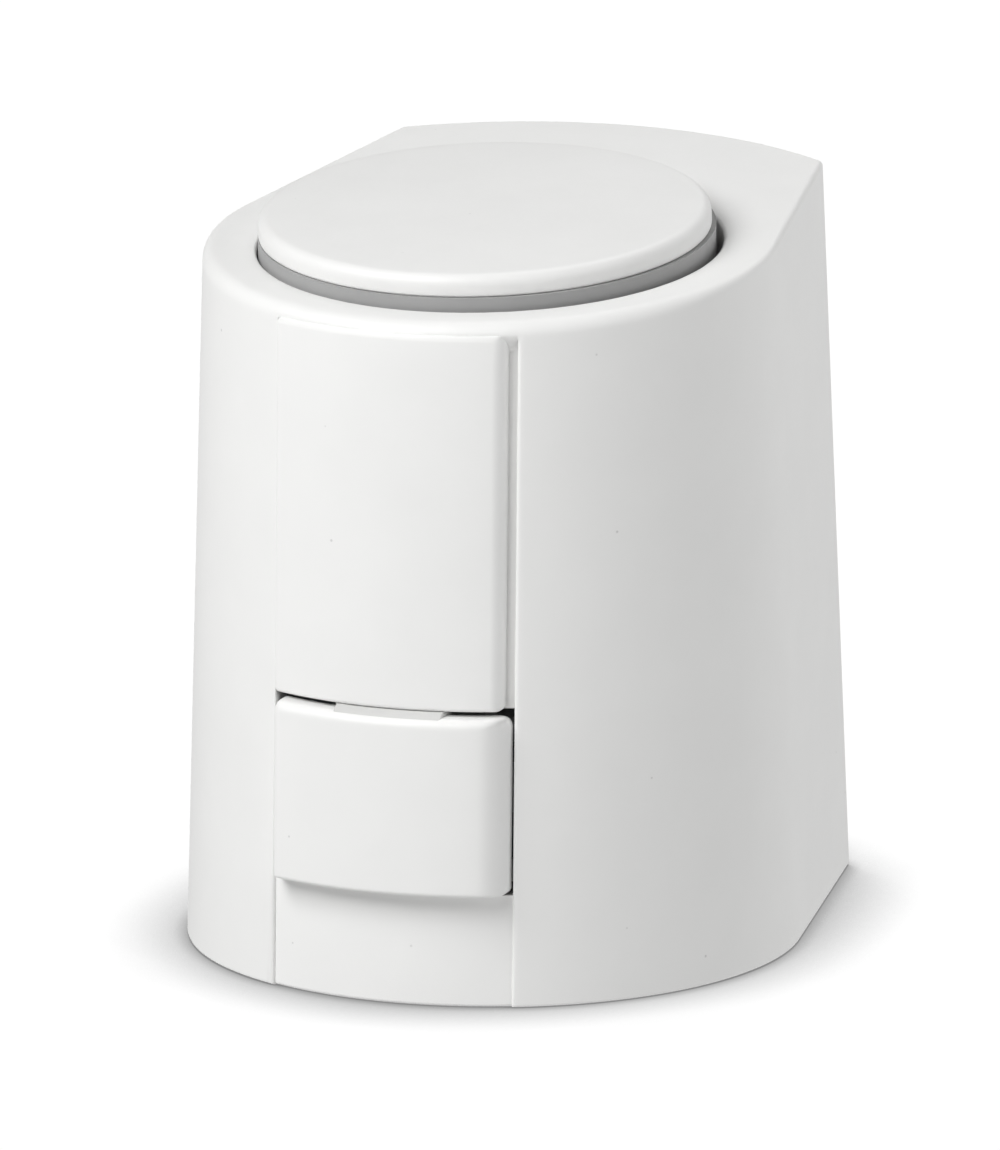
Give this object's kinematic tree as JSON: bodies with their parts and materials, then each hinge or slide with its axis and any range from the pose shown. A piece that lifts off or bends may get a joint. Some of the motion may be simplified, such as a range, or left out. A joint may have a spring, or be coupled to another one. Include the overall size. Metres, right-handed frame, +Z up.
{
  "type": "clip-on valve actuator head",
  "caption": "White clip-on valve actuator head with a rising round indicator cap in a sloping top, a front release button and a threaded valve adapter.",
  "frame": {"origin": "on the valve stem axis, in the plane of the foot and of the adapter's threaded mouth", "axes": "+Z up along the stem axis away from the valve, -Y towards the release button, +Y towards the cable socket"},
  "size_m": [0.0442, 0.054, 0.0546],
  "materials": {
    "shell_white": "fine satin moulding grain",
    "trim_white": "fine satin moulding grain",
    "cap_white": "fine satin moulding grain",
    "tongue_grey": "light grey acetal, satin",
    "band_grey": "mid grey, satin",
    "frame_grey": "glass-filled nylon, dull",
    "lifter_grey": "glass-filled nylon, dull",
    "adapter_dark": "glass-filled nylon, satin",
    "socket_dark": "satin",
    "bush_ivory": "smooth acetal",
    "jacket_ivory": "fibrous, dull",
    "spring_steel": "drawn wire, oiled",
    "plate_steel": "zinc plated sheet",
    "screw_steel": "zinc plated",
    "piston_steel": "ground and polished",
    "cartridge_brass": "turned brass",
    "contact_brass": "rolled strip",
    "heater_ceramic": "ceramic with silvered faces",
    "seal_rubber": "matt rubber",
    "board_green": "solder resist over glass laminate",
    "varistor_blue": "dipped coating",
    "fuse_metal": "plated caps on a glass tube",
    "capacitor_yellow": "moulded box",
    "lead_red": "silicone sleeve",
    "lead_brown": "insulated wire"
  },
  "bodies": {
    "housing_body": {"housing": "shell_white", "front_strip": "trim_white", "front_foot": "trim_white", "latch_springs": "spring_steel", "base_plate": "frame_grey", "base_posts": "frame_grey", "frame_deck": "frame_grey", "frame_posts": "frame_grey", "board_clips": "frame_grey", "cartridge_bridge": "frame_grey", "spring_plate": "plate_steel", "guide_bush": "bush_ivory", "frame_screws": "screw_steel", "base_screws": "screw_steel", "closing_spring": "spring_steel", "wax_cartridge": "cartridge_brass", "piston_seal": "seal_rubber", "cartridge_jacket": "jacket_ivory", "heater_disc": "heater_ceramic", "heater_contacts": "contact_brass", "heater_leads": "lead_red", "circuit_board": "board_green", "varistor": "varistor_blue", "fuse": "fuse_metal", "capacitor": "capacitor_yellow", "supply_leads": "lead_brown", "cable_socket": "socket_dark", "socket_pins": "contact_brass"},
    "lifter_body": {"lifter_tube": "lifter_grey", "spring_flange": "lifter_grey", "lift_yoke": "lifter_grey", "pressure_foot": "adapter_dark", "indicator_cap": "cap_white", "indicator_sleeve": "band_grey", "wax_piston": "piston_steel"},
    "release_body": {"release_button": "trim_white", "locking_slide": "tongue_grey"},
    "adapter_body": {"valve_adapter": "adapter_dark", "adapter_seal": "seal_rubber"}
  },
  "joints": [
    {"name": "stroke", "type": "slide", "parent": "housing_body", "child": "lifter_body", "axis": [0, 0, 1], "range_m": [-0.0027, 0.0018], "deforming": ["closing_spring"]},
    {"name": "release_press", "type": "slide", "parent": "housing_body", "child": "release_body", "axis": [0, 1, 0], "range_m": [0, 0.0016], "stiffness_N_per_m": 800, "springref_m": -0.002, "deforming": ["latch_springs"]},
    {"name": "adapter_turn", "type": "hinge", "parent": "housing_body", "child": "adapter_body", "pos_m": [0, 0, 0], "axis": [0, 0, 1], "continuous": true}
  ]
}
